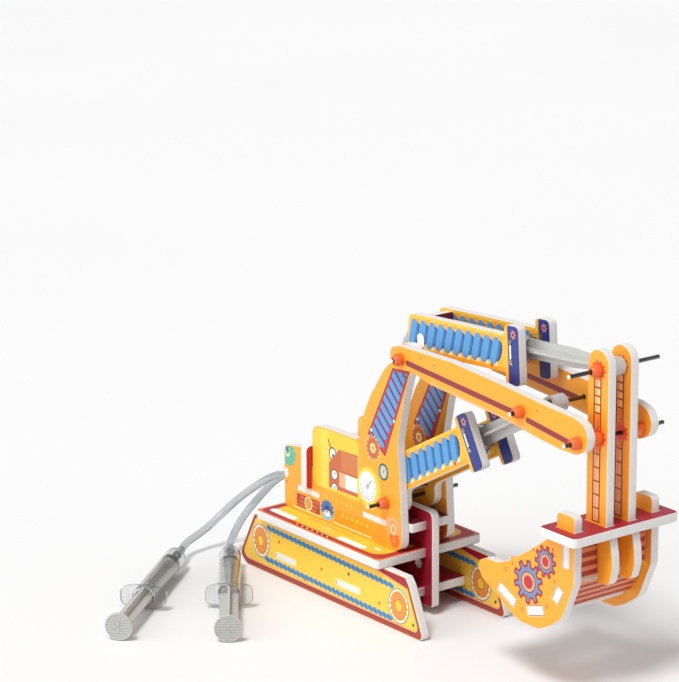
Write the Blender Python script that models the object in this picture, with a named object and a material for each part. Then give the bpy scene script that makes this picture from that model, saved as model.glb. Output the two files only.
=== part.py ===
"""Foam-board excavator kit worked by four syringes: two hydraulic circuits lift the boom and swing the stick.

Drawing frame, in millimetres: +X points forwards to the bucket, +Y to the far side, +Z up, and Z = 0 is the
table. The root empty scales it to metres and puts the origin under the middle of the object's box.
"""

import math

import bmesh
import bpy
import numpy as np
from mathutils import Matrix, Vector
from mathutils.geometry import interpolate_bezier

# Driving dimensions
MM = 0.001
BOARD = 5.0  # thickness of the foam board
GAP = 0.3  # between pieces that touch
ARC_STEP = math.radians(22.5)

TRACK_OUT = 31.1  # outer faces, measured from the middle plane
BODY_OUT = 18.4
BOOM_OUT = 23.7
HOUSING_OUT = 12.9
STICK_OUT = 10.0
BUCKET_OUT = 28.5

LOWER_PLATE_Z = 10.4
DECK_Z = 32.7
UPPER_PLATE_Z = 48.5
BUCKET_TOP_Z = 86.9

# Pivots, as (x, z)
P_BODY = (4.4, 62.9)
P_TOWER = (23.9, 148.5)
P_BOOM = (120.7, 142.7)
P_BOOM_END = (164.0, 136.9)
P_STICK = (163.0, 171.5)

ROD_R = 1.1
ROD_HOLE_R = ROD_R + GAP
CAP_R = 3.3
CAP_LENGTH = 5.0

# Cylinders, in their own frame: u along the syringe and w across it, from the pivot
SYRINGE_W = 13.5
FLANGE_U = 78.0
HUB_U = 140.4
SEAL_U = 60.0
REAR_PLATE_U = 1.5

# Syringes
BARREL_R = 6.2
BORE_R = 5.6
BARREL_LENGTH = 68.0
NOZZLE_R = 2.0
NOZZLE_BORE_R = 1.0
NOZZLE_LENGTH = 11.0
FINGER_SPAN = 26.0
FINGER_WIDTH = 13.5
FINGER_THICK = 1.4
FINGER_SET_BACK = 0.4  # from the mouth of the barrel to the finger flange
STEM_R = 5.1
WEB = 1.6
SEAL_R = 5.3
SEAL_LENGTH = 7.0
LUG_R = 4.7
LUG_LENGTH = 9.0
LUG_WIDTH = 8.0
THUMB_R = 7.7
THUMB_THICK = 1.8
MASTER_PLUNGER = 104.0  # from the thumb face to the front of the seal
MASTERS = {  # finger flange (x, y), heading of the nozzle in degrees, length of plunger that shows
    "upper": ((-80.4, -120.0), 129.8, 47.0),
    "lower": ((-53.5, -81.6), 143.9, 51.6),
}

TUBE_R = 2.2
TUBE_STEP = 4.8 * TUBE_R
UPPER_TUBE = [
    (-131.5, -59.0, 7.7), (-135.6, -54.1, 7.9), (-139.0, -47.5, 8.9), (-140.2, -36.0, 12.7),
    (-139.2, -26.0, 19.2), (-136.4, -17.0, 26.8), (-129.4, -8.5, 35.4), (-119.0, -3.6, 43.2),
    (-109.0, -2.6, 46.6), (-98.0, -3.2, 45.6), (-87.0, -3.6, 43.3), (-72.0, -3.8, 42.8),
    (-57.0, -3.8, 43.4), (-46.0, -4.0, 49.0), (-38.5, -4.4, 59.5), (-34.0, -4.4, 72.0),
    (-29.5, -4.0, 86.0), (-24.0, -3.2, 100.5), (-18.0, -2.2, 113.5), (-12.0, -1.3, 125.5),
    (-5.8, -0.5, 138.0), (0.9, 0.0, 151.0), (4.6, 0.0, 155.8), (10.2, 0.0, 159.8), (17.0, 0.0, 161.6),
]
LOWER_TUBE = [
    (-117.8, -34.9, 7.7), (-122.6, -31.0, 8.2), (-128.4, -24.0, 11.2), (-132.8, -14.5, 17.6),
    (-132.4, -5.0, 26.0), (-127.4, 2.4, 35.8), (-119.0, 5.0, 42.4), (-108.0, 5.4, 45.2),
    (-97.0, 4.8, 44.6), (-86.0, 4.2, 43.0), (-71.0, 4.0, 42.6), (-56.0, 4.0, 43.2),
    (-44.0, 3.8, 47.0), (-33.0, 3.0, 54.5), (-22.0, 1.4, 62.4), (-13.5, 0.4, 67.9),
    (-6.6, 0.0, 72.2),
]

COLOURS = {  # red, green, blue, roughness
    "orange_board": (1.0, 0.46, 0.07, 0.55),
    "yellow_board": (0.98, 0.66, 0.12, 0.55),
    "crimson_board": (0.42, 0.02, 0.06, 0.55),
    "orange_plastic": (0.9, 0.16, 0.04, 0.4),
    "black_rod": (0.01, 0.01, 0.012, 0.4),
    "clear_plastic": (0.7, 0.73, 0.74, 0.2),
    "clear_tube": (0.6, 0.62, 0.64, 0.3),
    "dark_rubber": (0.03, 0.03, 0.03, 0.6),
}


def clear_scene():
    for obj in list(bpy.data.objects):
        bpy.data.objects.remove(obj)


def make_materials():
    made = {}
    for name, (red, green, blue, rough) in COLOURS.items():
        material = bpy.data.materials.new(name)
        material.use_nodes = True
        shader = material.node_tree.nodes["Principled BSDF"]
        shader.inputs["Base Color"].default_value = (red, green, blue, 1.0)
        shader.inputs["Roughness"].default_value = rough
        shader.inputs["Metallic"].default_value = 0.0
        made[name] = material
    return made


# Frames: an empty on each joint, holding the pieces that move with it
def empty(name, parent, location=(0, 0, 0), rotation=None):
    frame = bpy.data.objects.new(name, None)
    bpy.context.scene.collection.objects.link(frame)
    frame.parent = parent
    frame.matrix_local = Matrix.Translation(location) @ (rotation or Matrix.Identity(4))
    return frame


def add(name, mesh, material, parent, local=None):
    obj = bpy.data.objects.new(name, mesh)
    mesh.materials.append(material)
    bpy.context.scene.collection.objects.link(obj)
    obj.parent = parent
    obj.matrix_local = local or Matrix.Identity(4)
    return obj


# Outlines: lists of (a, b) or (a, b, corner radius)
def arc(centre, radius, start, end):
    count = max(2, round(abs(end - start) / ARC_STEP))
    return [
        (centre[0] + radius * math.cos(t), centre[1] + radius * math.sin(t))
        for t in np.linspace(start, end, count + 1)
    ]


def rounded(corners):
    """The outline with each corner that has a radius turned into an arc that touches both of its sides."""
    points = []
    for i, corner in enumerate(corners):
        here = Vector(corner[:2])
        radius = corner[2] if len(corner) > 2 else 0
        before = (Vector(corners[i - 1][:2]) - here).normalized()
        after = (Vector(corners[(i + 1) % len(corners)][:2]) - here).normalized()
        half = before.angle(after) / 2
        if radius == 0 or half > math.radians(88):
            points.append(tuple(here))
            continue
        centre = here + (before + after).normalized() * radius / math.sin(half)
        first = here + before * radius / math.tan(half) - centre
        last = here + after * radius / math.tan(half) - centre
        start = math.atan2(first.y, first.x)
        turn = (math.atan2(last.y, last.x) - start + math.pi) % (2 * math.pi) - math.pi
        points += arc(centre, radius, start, start + turn)
    return points


def circle(centre, radius, sides=12):
    turns = (2 * math.pi * i / sides for i in range(sides))
    return [(centre[0] + radius * math.cos(turn), centre[1] + radius * math.sin(turn)) for turn in turns]


def rectangle(low, high, radius=0):
    corners = ((low[0], low[1]), (high[0], low[1]), high, (low[0], high[1]))
    return rounded([(a, b, radius) for a, b in corners])


def turned_rectangle(centre, angle, length, thick):
    along = Vector((math.cos(angle), math.sin(angle)))
    across = Vector((-along.y, along.x))
    corners = [(-1, -1), (1, -1), (1, 1), (-1, 1)]
    return [tuple(Vector(centre) + along * a * length / 2 + across * b * thick / 2) for a, b in corners]


def moved(points, centre):
    return [(point[0] - centre[0], point[1] - centre[1], *point[2:]) for point in points]


def sheet_mesh(name, outline, holes, thick):
    """A flat closed solid of this outline, its middle plane at local Z = 0, with the holes cut through."""
    curve = bpy.data.curves.new(name, "CURVE")
    curve.dimensions = "2D"
    curve.fill_mode = "BOTH"
    curve.extrude = thick / 2
    for loop in [outline, *holes]:
        spline = curve.splines.new("POLY")
        spline.points.add(len(loop) - 1)
        for point, (a, b, *_) in zip(spline.points, loop):
            point.co = (a, b, 0, 1)
        spline.use_cyclic_u = True
    guide = bpy.data.objects.new(name, curve)
    bpy.context.scene.collection.objects.link(guide)
    graph = bpy.context.evaluated_depsgraph_get()
    mesh = bpy.data.meshes.new_from_object(guide.evaluated_get(graph))
    bpy.data.objects.remove(guide)
    shape = bmesh.new()
    shape.from_mesh(mesh)
    bmesh.ops.remove_doubles(shape, verts=shape.verts, dist=1e-4)
    bmesh.ops.recalc_face_normals(shape, faces=shape.faces)
    shape.to_mesh(mesh)
    shape.free()
    mesh.name = name
    return mesh


# Boards, by the direction that they face
FACING_Y = Matrix.Rotation(math.pi / 2, 4, "X")  # local (a, b) becomes (x, z)


def side_board(name, outline, holes, middle_y, material, parent, pivot=(0, 0), thick=BOARD):
    mesh = sheet_mesh(name, moved(outline, pivot), [moved(hole, pivot) for hole in holes], thick)
    return add(name, mesh, material, parent, Matrix.Translation((0, middle_y, 0)) @ FACING_Y)


def side_boards(name, outline, holes, outer_y, material, parent, pivot=(0, 0)):
    for side, sign in (("near", -1), ("far", 1)):
        side_board(f"{name}_{side}", outline, holes, sign * (outer_y - BOARD / 2), material, parent, pivot)


def flat_board(name, outline, holes, low_z, material, parent):
    mesh = sheet_mesh(name, outline, holes, BOARD)
    return add(name, mesh, material, parent, Matrix.Translation((0, 0, low_z + BOARD / 2)))


def cross_board(name, outline, holes, centre, angle, material, parent, pivot=(0, 0)):
    """A board that holds the Y axis: its outline is (along, y), and along points at this angle above +X."""
    mesh = sheet_mesh(name, outline, holes, BOARD)
    middle = Matrix.Translation((centre[0] - pivot[0], 0, centre[1] - pivot[1]))
    return add(name, mesh, material, parent, middle @ Matrix.Rotation(-angle, 4, "Y"))


def tabbed(
    half_length, half_width, tab_half_length, tab_half_width, shift=0, radius=0, far_end=(), near_end=(),
):
    """A strip from -half_width to half_width with one tab on each side, shifted along it.

    far_end and near_end hold further points of its two ends: far_end runs to +Y, and near_end back to -Y.
    """
    low, high = shift - tab_half_length, shift + tab_half_length
    return rounded([
        (-half_length, -half_width, radius), (low, -half_width), (low, -tab_half_width),
        (high, -tab_half_width), (high, -half_width), (half_length, -half_width, radius), *far_end,
        (half_length, half_width, radius),
        (high, half_width), (high, tab_half_width), (low, tab_half_width), (low, half_width),
        (-half_length, half_width, radius), *near_end,
    ])


# Turned pieces
def lathe_mesh(name, profile, sides):
    """A closed profile of (along, radius) points turned about local X. A radius of 0 closes on the axis."""
    shape = bmesh.new()
    rings = []
    for along, radius in profile:
        if radius == 0:
            rings.append([shape.verts.new((along, 0, 0))] * sides)
            continue
        turns = (2 * math.pi * i / sides for i in range(sides))
        rings.append([shape.verts.new((along, radius * math.cos(t), radius * math.sin(t))) for t in turns])
    hollow = profile[0][1] > 0
    pairs = list(zip(rings, rings[1:] + rings[:1])) if hollow else list(zip(rings, rings[1:]))
    for first, second in pairs:
        for i in range(sides):
            j = (i + 1) % sides
            corners = list(dict.fromkeys([first[i], first[j], second[j], second[i]]))
            if len(corners) > 2:
                shape.faces.new(corners)
    bmesh.ops.recalc_face_normals(shape, faces=shape.faces)
    mesh = bpy.data.meshes.new(name)
    shape.to_mesh(mesh)
    shape.free()
    mesh.shade_smooth()
    mesh.set_sharp_from_angle(angle=math.radians(40))
    return mesh


def turned(name, profile, sides, material, parent, local=None):
    return add(name, lathe_mesh(name, profile, sides), material, parent, local)


ALONG_Y = Matrix.Rotation(math.pi / 2, 4, "Z")  # local X becomes Y


def rod(name, low_y, high_y, material, parent):
    profile = [(low_y, 0), (low_y, ROD_R), (high_y, ROD_R), (high_y, 0)]
    turned(name, profile, 12, material, parent, ALONG_Y)


def ring_profile(low, high, radius, chamfer):
    return [
        (low, ROD_HOLE_R), (low, radius), (high - chamfer, radius),
        (high - chamfer * 0.3, radius - chamfer * 0.4), (high, radius - chamfer), (high, ROD_HOLE_R),
    ]


def caps(name, outer_y, material, parent):
    """The push-on caps outside a pair of boards whose outer faces are at this distance."""
    for side, turn in (("near", -math.pi / 2), ("far", math.pi / 2)):
        profile = ring_profile(outer_y + GAP, outer_y + GAP + CAP_LENGTH, CAP_R, 1.4)
        turned(f"{name}_cap_{side}", profile, 14, material, parent, Matrix.Rotation(turn, 4, "Z"))


def join(obj, helper):
    """Adds the helper's shape to the object with a Boolean union."""
    helper.hide_render = True
    helper.display_type = "WIRE"
    modifier = obj.modifiers.new(f"join_{helper.name}", "BOOLEAN")
    modifier.operation = "UNION"
    modifier.solver = "EXACT"
    modifier.object = helper


# Syringes, drawn along local X with the finger flange's outer face at 0 and the nozzle at -X
def barrel(name, material, parent, local):
    """The barrel and its finger flange, which lies across the syringe along Y."""
    shoulder = -BARREL_LENGTH
    tip = shoulder - NOZZLE_LENGTH
    profile = [
        (0, BORE_R), (0, BARREL_R), (shoulder + 1.0, BARREL_R), (shoulder, BARREL_R - 1.0),
        (shoulder, NOZZLE_R), (tip, NOZZLE_R - 0.2), (tip, NOZZLE_BORE_R),
        (shoulder + 1.2, NOZZLE_BORE_R), (shoulder + 1.2, BORE_R),
    ]
    body = turned(name, profile, 24, material, parent, local)
    half_span, half_width = FINGER_SPAN / 2, FINGER_WIDTH / 2
    end_width, waist = half_width * 0.75, half_span * 0.4
    outline = rounded([
        (-half_span, -end_width, 4), (-waist, -half_width, 3), (waist, -half_width, 3),
        (half_span, -end_width, 4), (half_span, end_width, 4), (waist, half_width, 3),
        (-waist, half_width, 3), (-half_span, end_width, 4),
    ])
    bore = circle((0, 0), (BORE_R + BARREL_R) / 2, 24)
    mesh = sheet_mesh(f"{name}_flange_guide", outline, [bore], FINGER_THICK)
    stand = Matrix.Rotation(math.pi / 2, 4, "X") @ Matrix.Rotation(math.pi / 2, 4, "Y")
    place = local @ Matrix.Translation((-FINGER_THICK / 2 - FINGER_SET_BACK, 0, 0)) @ stand
    join(body, add(f"{name}_flange_guide", mesh, material, parent, place))
    return body


def seal(name, front, material, parent, local):
    """The rubber seal, from its front face backwards to the plunger, with two lips."""
    groove = SEAL_R - 0.8
    back = front + SEAL_LENGTH
    profile = [
        (front, 0), (front + 0.6, SEAL_R * 0.6), (front + 1.2, SEAL_R), (front + 2.4, SEAL_R),
        (front + 2.9, groove), (back - 2.2, groove), (back - 1.7, SEAL_R), (back, SEAL_R), (back, 0),
    ]
    turned(name, profile, 20, material, parent, local)


def cross_stem(name, start, end, taper, material, parent, local):
    """The plunger's stem: an upright web, with a flat web and a front disc joined to it."""
    body_mesh = sheet_mesh(name, stem_outline(start, end, STEM_R, taper), [], WEB)
    body = add(name, body_mesh, material, parent, local @ FACING_Y)
    web_mesh = sheet_mesh(f"{name}_web_guide", stem_outline(start + 0.05, end, STEM_R, taper), [], WEB)
    join(body, add(f"{name}_web_guide", web_mesh, material, parent, local))
    disc = [(start, 0), (start, STEM_R + 0.15), (start + 1.5, STEM_R + 0.15), (start + 1.5, 0)]
    join(body, turned(f"{name}_disc_guide", disc, 20, material, parent, local))
    return body


def stem_outline(start, end, half, taper):
    tip = half * 0.55
    rear = start + 0.5
    return [(rear, -half), (end - taper, -half), (end, -tip), (end, tip), (end - taper, half), (rear, half)]


def slave_plunger(name, material, parent, local):
    """The plunger inside a cylinder, with a pierced lug that takes the far pivot's rod."""
    start = SEAL_U + SEAL_LENGTH + GAP
    body = cross_stem(name, start, HUB_U - 3.5, 26, material, parent, local)
    half_high, half_wide = ROD_HOLE_R + 1.5, ROD_HOLE_R + 0.6
    outline = arc((HUB_U, 0), LUG_R, -math.pi / 2, math.pi / 2)
    outline += [(HUB_U - LUG_LENGTH, LUG_R * 0.8), (HUB_U - LUG_LENGTH, -LUG_R * 0.8)]
    slot = rectangle((HUB_U - half_wide, -half_high), (HUB_U + half_wide, half_high), half_wide * 0.9)
    mesh = sheet_mesh(f"{name}_lug_guide", outline, [slot], LUG_WIDTH)
    join(body, add(f"{name}_lug_guide", mesh, material, parent, local @ FACING_Y))


def master_plunger(name, shown, material, parent, local):
    """The plunger that a hand pushes, with a thumb disc. Its thumb face is this far out of the barrel."""
    start = shown - MASTER_PLUNGER + SEAL_LENGTH + GAP
    body = cross_stem(name, start, shown - THUMB_THICK + 0.4, 3, material, parent, local)
    back = shown - THUMB_THICK
    disc = [(back, 0), (back, THUMB_R - 0.3), (shown - 0.9, THUMB_R), (shown, THUMB_R - 0.4), (shown, 0)]
    join(body, turned(f"{name}_thumb_guide", disc, 24, material, parent, local))


def tube(name, route, material, parent):
    """A tube along a smooth curve through the route's points."""
    knots = [Vector(point) for point in route]
    ends = [knots[0] * 2 - knots[1], *knots, knots[-1] * 2 - knots[-2]]
    line = [knots[0]]
    for before, here, after, beyond in zip(ends, ends[1:], ends[2:], ends[3:]):
        count = max(1, round((after - here).length / TUBE_STEP))
        handles = here, here + (after - before) / 6, after - (beyond - here) / 6, after
        line += interpolate_bezier(*handles, count + 1)[1:]
    curve = bpy.data.curves.new(name, "CURVE")
    curve.dimensions = "3D"
    curve.bevel_depth = TUBE_R
    curve.bevel_resolution = 2
    curve.use_fill_caps = True
    spline = curve.splines.new("POLY")
    spline.points.add(len(line) - 1)
    for point, position in zip(spline.points, line):
        point.co = (*position, 1)
    add(name, curve, material, parent)


# Chassis
def chassis(paint, root):
    half_middle = BOARD / 2 + GAP
    track_in = TRACK_OUT - BOARD
    top, tab_top = DECK_Z - GAP, DECK_Z + BOARD
    track = rounded([
        (-106.0, 0, 3), (52.9, 0, 3), (40.4, 28.5, 4), (37.2, top, 1), (-0.7, top), (-0.7, tab_top, 1),
        (-24.7, tab_top, 1), (-24.7, top), (-62.6, top), (-62.6, tab_top, 1),
        (-85.8, tab_top, 1), (-85.8, top), (-98.9, top, 3), (-113.5, 4.5, 4),
    ])
    tabs = ((-79.6, -60.0), (-23.5, -2.1))
    slot_low, slot_high = LOWER_PLATE_Z - GAP, LOWER_PLATE_Z + BOARD + GAP
    slots = [rectangle((low - GAP, slot_low), (high + GAP, slot_high)) for low, high in tabs]
    side_boards("track", track, slots, TRACK_OUT, paint["yellow_board"], root)

    half_lap = 3.0
    lower = plate_with_tabs(-90.0, 18.7, track_in - GAP, TRACK_OUT, tabs, half_lap)
    flat_board("lower_plate", lower, [], LOWER_PLATE_Z, paint["crimson_board"], root)

    deck_holes = []
    for sign in (-1, 1):
        for low, high in ((-85.8, -62.6), (-24.7, -0.7)):
            ends = sorted((sign * (track_in - GAP), sign * (TRACK_OUT + GAP)))
            deck_holes.append(rectangle((low - GAP, ends[0]), (high + GAP, ends[1])))
        for low, high in ((-76.0, -62.0), (3.5, 10.9)):
            ends = sorted((sign * (BODY_OUT - BOARD - GAP), sign * (BODY_OUT + GAP)))
            deck_holes.append(rectangle((low - GAP, ends[0]), (high + GAP, ends[1])))
    front = 19.6
    rear, half_deck = -90.6, 36.1
    deck = rounded([
        (rear, -half_deck, 2), (front, -half_deck, 2), (front, -half_middle), (half_lap, -half_middle),
        (half_lap, half_middle), (front, half_middle), (front, half_deck, 2), (rear, half_deck, 2),
    ])
    flat_board("deck", deck, deck_holes, DECK_Z, paint["crimson_board"], root)

    body_tabs = ((-75.8, -54.5), (-16.7, 5.2))
    window = rectangle((-52.0, -8.5), (-20.0, 8.5), 3)
    upper = plate_with_tabs(-80.0, 20.2, BODY_OUT - BOARD - GAP, BODY_OUT, body_tabs, half_lap)
    flat_board("upper_plate", upper, [window], UPPER_PLATE_Z, paint["crimson_board"], root)

    levels = (LOWER_PLATE_Z, DECK_Z, UPPER_PLATE_Z)
    keel_rear, keel_front, keel_foot, keel_top = -14.0, 24.6, 4.6, 59.0
    keel = [(keel_front, keel_foot, 2), (keel_front, keel_top, 4), (keel_rear, keel_top, 3)]
    for level in reversed(levels):
        above, below = level + BOARD + GAP, level - GAP
        keel += [(keel_rear, above), (half_lap + GAP, above), (half_lap + GAP, below), (keel_rear, below)]
    keel += [(keel_rear, keel_foot, 2)]
    side_board("keel", rounded(keel), [circle((12.8, 27.4), 2.6)], 0, paint["crimson_board"], root)

    slot_low, slot_high, slot_bottom = -66.5, -60.9, 66.4
    floor = DECK_Z + BOARD + GAP
    side = [
        (18.0, floor, 6), (18.2, 47.0), (15.9, 84.4, 20), (14.3, 98.0, 20), (19.9, 124.3, 20),
        (24.3, 138.5, 8), (31.5, 145.0, 4), (31.0, 155.8, 7), (17.0, 155.8, 7), (14.6, 148.0, 4),
        (2.8, 137.0, 10), (-9.4, 119.2, 20), (-16.6, 104.0, 8), (-18.9, 92.4, 4), (-41.4, 92.2, 0),
        (slot_high, 91.4, 6), (slot_high, slot_bottom), (slot_low, slot_bottom), (slot_low, 76.2, 1),
        (-87.0, 73.4, 4), (-87.0, floor, 1),
        (-76.0, floor), (-76.0, DECK_Z), (-62.0, DECK_Z), (-62.0, floor),
        (3.5, floor), (3.5, DECK_Z), (10.9, DECK_Z), (10.9, floor),
    ]
    holes = [circle(P_BODY, ROD_HOLE_R), circle(P_TOWER, ROD_HOLE_R)]
    for low, high in body_tabs:
        holes.append(rectangle((low - GAP, UPPER_PLATE_Z - GAP), (high + GAP, UPPER_PLATE_Z + BOARD + GAP)))
    side_boards("body_side", rounded(side), holes, BODY_OUT, paint["orange_board"], root)

    # The rear cross plate drops into the sides' slots: its outline is (height, y) about its middle
    low, high, half_span = 54.0, 79.0, BODY_OUT + 4.2
    middle = (low + high) / 2
    foot = low - middle
    inner, outer, notch = BODY_OUT - BOARD - GAP, BODY_OUT + GAP, slot_bottom + GAP - middle
    outline = rounded([
        (foot, -half_span, 2), (-foot, -half_span, 3), (-foot, half_span, 3), (foot, half_span, 2),
        (foot, outer), (notch, outer), (notch, inner), (foot, inner),
        (foot, -inner), (notch, -inner), (notch, -outer), (foot, -outer),
    ][::-1])
    centre = ((slot_low + slot_high) / 2, middle)
    cross_board("rear_cross_plate", outline, [], centre, math.pi / 2, paint["crimson_board"], root)

    rods = {"body_rod": (P_BODY, -31.0, 31.5), "tower_rod": (P_TOWER, -30.2, 28.4)}
    for name, (pivot, low_y, high_y) in rods.items():
        frame = empty(f"{name}_axis", root, (pivot[0], 0, pivot[1]))
        rod(name, low_y, high_y, paint["black_rod"], frame)
    caps("body_rod", BODY_OUT, paint["orange_plastic"], bpy.data.objects["body_rod_axis"])
    caps("tower_rod", BOOM_OUT, paint["orange_plastic"], bpy.data.objects["tower_rod_axis"])


def plate_with_tabs(rear, front, half_width, tab_width, tabs, half_lap):
    """A plate seen from above, with tabs along both sides and a slit in its front edge for the keel."""
    slit = BOARD / 2 + GAP
    right = [(rear, -half_width, 2)]
    for low, high in tabs:
        right += [(low, -half_width), (low, -tab_width, 1), (high, -tab_width, 1), (high, -half_width)]
    right += [(front, -half_width, 1), (front, -slit), (half_lap, -slit)]
    left = [(x, -y, *more) for x, y, *more in reversed(right)]
    return rounded(right + left)


# Arm
def boom(paint, root):
    frame = empty("boom_pivot", root, (P_TOWER[0], 0, P_TOWER[1]))
    outline = rounded([
        (15.0, 141.6, 4.5), (31.9, 143.9, 4), (48.5, 140.2, 6), (105.0, 136.1, 0), (136.0, 131.9, 20),
        (151.0, 130.3, 8), (163.0, 130.4, 6), (169.8, 134.0, 5), (171.3, 140.5, 4), (168.5, 146.8, 5),
        (160.5, 149.0, 5), (143.0, 150.0, 0), (105.0, 153.4, 0), (65.0, 156.2, 20), (24.0, 155.7, 4),
        (15.0, 153.7, 4.5),
    ])
    holes = [circle(pivot, ROD_HOLE_R) for pivot in (P_TOWER, P_BOOM, P_BOOM_END)]
    side_boards("boom", outline, holes, BOOM_OUT, paint["orange_board"], frame, P_TOWER)
    rods = {"boom_rod": (P_BOOM, -31.6, 28.4), "boom_end_rod": (P_BOOM_END, -33.5, 33.5)}
    for name, (pivot, low_y, high_y) in rods.items():
        axis = empty(f"{name}_axis", frame, (pivot[0] - P_TOWER[0], 0, pivot[1] - P_TOWER[1]))
        rod(name, low_y, high_y, paint["black_rod"], axis)
        caps(name, BOOM_OUT, paint["orange_plastic"], axis)
    for side, turn in (("near", -math.pi / 2), ("far", math.pi / 2)):
        profile = ring_profile(STICK_OUT + GAP, BOOM_OUT - BOARD - GAP, CAP_R, 0.6)
        place = Matrix.Rotation(turn, 4, "Z")
        axis = bpy.data.objects["boom_end_rod_axis"]
        turned(f"stick_spacer_{side}", profile, 14, paint["orange_plastic"], axis, place)
    return frame


def stick_and_bucket(paint, root, boom_frame):
    offset = (P_BOOM_END[0] - P_TOWER[0], 0, P_BOOM_END[1] - P_TOWER[1])
    frame = empty("stick_pivot", boom_frame, offset)
    plate_front = 164.7
    half_lap = 75.0
    stick = rounded([
        (155.5, 67.5, 1), (158.9, 67.5), (158.9, half_lap), (plate_front, half_lap), (plate_front, 61.3),
        (173.2, 61.3, 4), (175.7, 70.5, 8), (175.2, 78.0, 8), (173.4, 86.2, 1), (170.5, 86.3),
        (170.5, 182.0, 7.4), (155.5, 182.0, 7.4),
    ])
    holes = [circle(P_BOOM_END, ROD_HOLE_R), circle(P_STICK, ROD_HOLE_R)]
    side_boards("stick", stick, holes, STICK_OUT, paint["orange_board"], frame, P_BOOM_END)
    side_in = BUCKET_OUT - BOARD
    side_top = BUCKET_TOP_Z - GAP
    tab_low, tab_high = 154.6, 167.8

    # Top plate, seen from above
    top_rear, top_front, top_half_width = 148.2, 175.5, 35.3
    middle_x = (top_rear + top_front) / 2
    holes = []
    for sign in (-1, 1):
        for low_y, high_y, low_x, high_x in (
            (STICK_OUT - BOARD - GAP, STICK_OUT + GAP, 155.5 - GAP, 170.5 + GAP),
            (side_in - GAP, BUCKET_OUT + GAP, tab_low - GAP, tab_high + GAP),
        ):
            ends = sorted((sign * low_y, sign * high_y))
            holes.append(rectangle((low_x - middle_x, ends[0]), (high_x - middle_x, ends[1])))
    outline = rectangle((top_rear - middle_x, -top_half_width), (top_front - middle_x, top_half_width), 3)
    centre = (middle_x, BUCKET_TOP_Z + BOARD / 2)
    cross_board("bucket_top_plate", outline, holes, centre, 0, paint["crimson_board"], frame, P_BOOM_END)

    # Plates between the sides: centre (x, z), angle, half length, tab's half length and its shift along
    plates = {
        "bucket_front_plate": ((161.8, 75.4), math.radians(90), 10.4, 5.8, 2.4),
        "bucket_lower_plate": ((155.8, 55.9), math.radians(62), 9.0, 4.1, 0.0),
        "bucket_bottom_plate": ((139.0, 42.8), math.radians(15.3), 9.5, 6.1, 0.0),
        "bucket_rear_plate": ((112.1, 47.3), math.radians(-25.3), 16.4, 6.8, 5.4),
    }
    slots = []
    for name, (centre, angle, half, tab, shift) in plates.items():
        along = Vector((math.cos(angle), math.sin(angle)))
        middle = Vector(centre) + along * shift
        slots.append(turned_rectangle(middle, angle, 2 * (tab + GAP), BOARD + 2 * GAP))
        notches = stick_notches(half, half_lap - GAP - centre[1]) if name == "bucket_front_plate" else []
        points = teeth(-half, side_in - GAP, 3.6) if name == "bucket_rear_plate" else []
        outline = tabbed(half, side_in - GAP, tab, BUCKET_OUT, shift, 0, notches, points)
        cross_board(name, outline, [], centre, angle, paint["orange_board"], frame, P_BOOM_END)

    tab_top = 100.0
    side = rounded([
        (93.6, 54.4, 2), (97.2, 48.9, 1), (119.5, 36.9, 6), (127.0, 33.7, 8), (141.5, 33.7, 8),
        (149.5, 37.5, 8), (159.2, 44.3, 8), (167.8, 64.4, 6), (tab_high, side_top), (tab_high, tab_top, 2.5),
        (tab_low, tab_top, 2.5), (tab_low, side_top), (151.5, side_top, 1), (134.4, 74.1, 10),
        (119.1, 64.4, 10), (109.7, 60.5, 5), (100.2, 60.3, 3), (95.4, 58.1, 1.5),
    ])
    side_boards("bucket_side", side, slots, BUCKET_OUT, paint["orange_board"], frame, P_BOOM_END)
    axis = empty("stick_rod_axis", frame, (P_STICK[0] - P_BOOM_END[0], 0, P_STICK[1] - P_BOOM_END[1]))
    rod("stick_rod", -30.0, 30.4, paint["black_rod"], axis)
    caps("stick_rod", STICK_OUT, paint["orange_plastic"], axis)


def stick_notches(edge, depth):
    """The points of the two notches in a plate's far edge that the stick panels drop into."""
    points = []
    for low, high in ((-STICK_OUT, BOARD - STICK_OUT), (STICK_OUT - BOARD, STICK_OUT)):
        points += [(edge, low - GAP), (depth, low - GAP), (depth, high + GAP), (edge, high + GAP)]
    return points


def teeth(edge, half_width, depth):
    """The points of a near edge cut into five teeth, from +half_width to -half_width."""
    count = 5
    pitch = 2 * half_width / count
    margin = slope = pitch * 0.15
    root = edge + depth
    points = []
    for i in range(count):
        top = half_width - i * pitch - margin
        low = top - pitch + 2 * margin
        points += [(root, top), (edge, top - slope), (edge, low + slope), (root, low)]
    return points


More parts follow.
